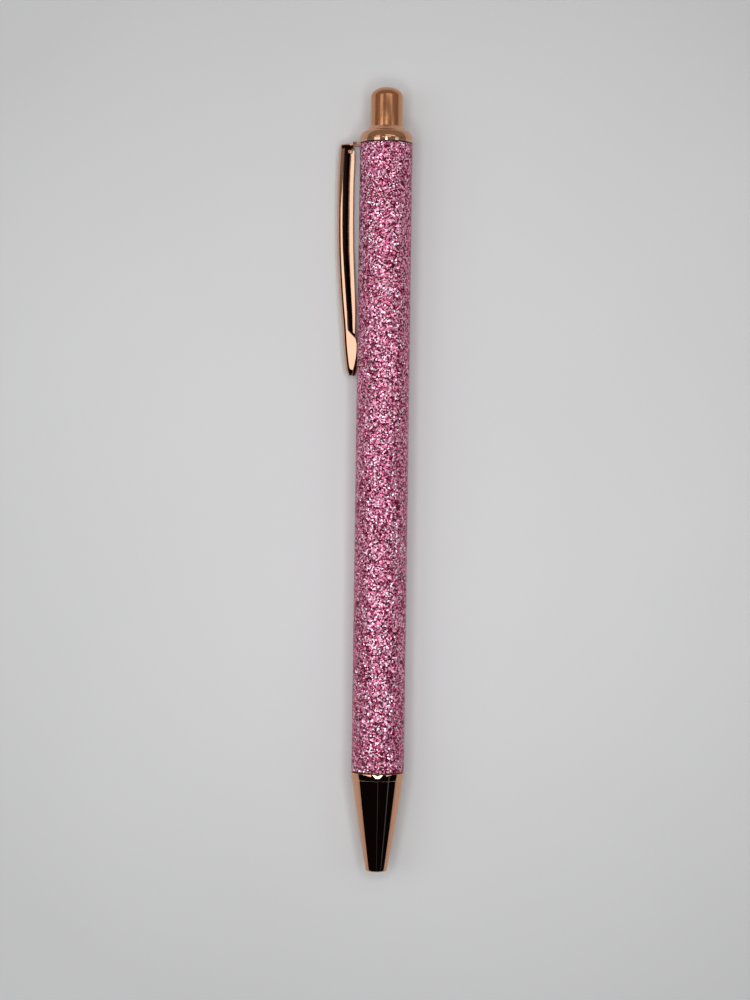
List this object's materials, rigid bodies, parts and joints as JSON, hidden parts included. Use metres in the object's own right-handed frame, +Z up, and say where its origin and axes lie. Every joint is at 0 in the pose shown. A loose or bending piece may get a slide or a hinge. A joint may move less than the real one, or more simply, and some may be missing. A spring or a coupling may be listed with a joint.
{
  "type": "retractable gel pen",
  "caption": "Slim click gel pen with a glitter barrel, screw-off nose cone, spring clip, push button and replaceable gel refill.",
  "frame": {"origin": "centre of the bounding box's bottom, on the surface that the lying pen rests on", "axes": "+Z up; +Y along the pen from the nose cone to the push button; -X towards the clip, which points about 25 degrees below the horizon and rests on the surface"},
  "size_m": [0.0138, 0.142, 0.0098],
  "materials": {
    "glitter_wrap": "clear coat over pink glitter film",
    "barrel_tube": "drawn tube with dark lacquer",
    "nose_bush": "bare turned brass",
    "upper_bush": "bare turned brass",
    "nose_cone": "polished rose gold plating",
    "collar": "polished rose gold plating",
    "clip_ring": "polished rose gold plating",
    "clip_arm": "polished rose gold plating",
    "cam_sleeve": "moulded acetal",
    "plunger_stem": "moulded acetal",
    "button_cap": "satin rose gold plating",
    "rotor": "moulded acetal",
    "refill_spring": "drawn steel wire",
    "refill_tube": "translucent polypropylene",
    "refill_ink": "black gel",
    "ink_follower": "clear grease",
    "refill_tail_plug": "moulded plastic",
    "tip_holder": "moulded plastic",
    "refill_tip": "turned nickel silver",
    "writing_ball": "ground tungsten carbide"
  },
  "bodies": {
    "barrel": {"glitter_wrap": "glitter_wrap", "barrel_tube": "barrel_tube", "nose_bush": "nose_bush", "upper_bush": "upper_bush", "collar": "collar", "clip_ring": "clip_ring", "cam_sleeve": "cam_sleeve"},
    "clip": {"clip_arm": "clip_arm"},
    "spring": {"refill_spring": "refill_spring"},
    "nose": {"nose_cone": "nose_cone"},
    "plunger": {"plunger_stem": "plunger_stem", "button_cap": "button_cap"},
    "refill": {"rotor": "rotor", "refill_tube": "refill_tube", "refill_ink": "refill_ink", "ink_follower": "ink_follower", "refill_tail_plug": "refill_tail_plug", "tip_holder": "tip_holder", "refill_tip": "refill_tip"},
    "ball": {"writing_ball": "writing_ball"}
  },
  "joints": [
    {"name": "clip_flex", "type": "hinge", "parent": "barrel", "child": "clip", "pos_m": [-0.00364, 0.06098, 0.00227], "axis": [0.4218, 0, -0.9067], "range_deg": [0, 5], "stiffness_Nm_per_rad": 2.3},
    {"name": "button_press", "type": "slide", "parent": "barrel", "child": "plunger", "axis": [0, -1, 0], "range_m": [0, 0.0054], "stiffness_N_per_m": 400, "springref_m": -0.004},
    {"name": "refill_advance", "type": "slide", "parent": "barrel", "child": "refill", "axis": [0, -1, 0], "range_m": [0, 0.0054], "deforming": ["refill_spring"]},
    {"name": "nose_travel", "type": "slide", "parent": "barrel", "child": "spring", "axis": [0, -1, 0], "range_m": [0, 0.0045]},
    {"name": "nose_turn", "type": "hinge", "parent": "spring", "child": "nose", "pos_m": [0.00198, -0.062, 0.00488], "axis": [0, -1, 0], "range_deg": [0, 2160]},
    {"name": "ball_roll", "type": "hinge", "parent": "refill", "child": "ball", "pos_m": [0.00198, -0.06965, 0.00488], "axis": [1, 0, 0], "continuous": true}
  ],
  "couplings": [
    {"joint": "refill_advance", "follows": "button_press", "ratio": 1},
    {"joint": "nose_turn", "follows": "nose_travel", "rad_per_m": 8377.6}
  ]
}
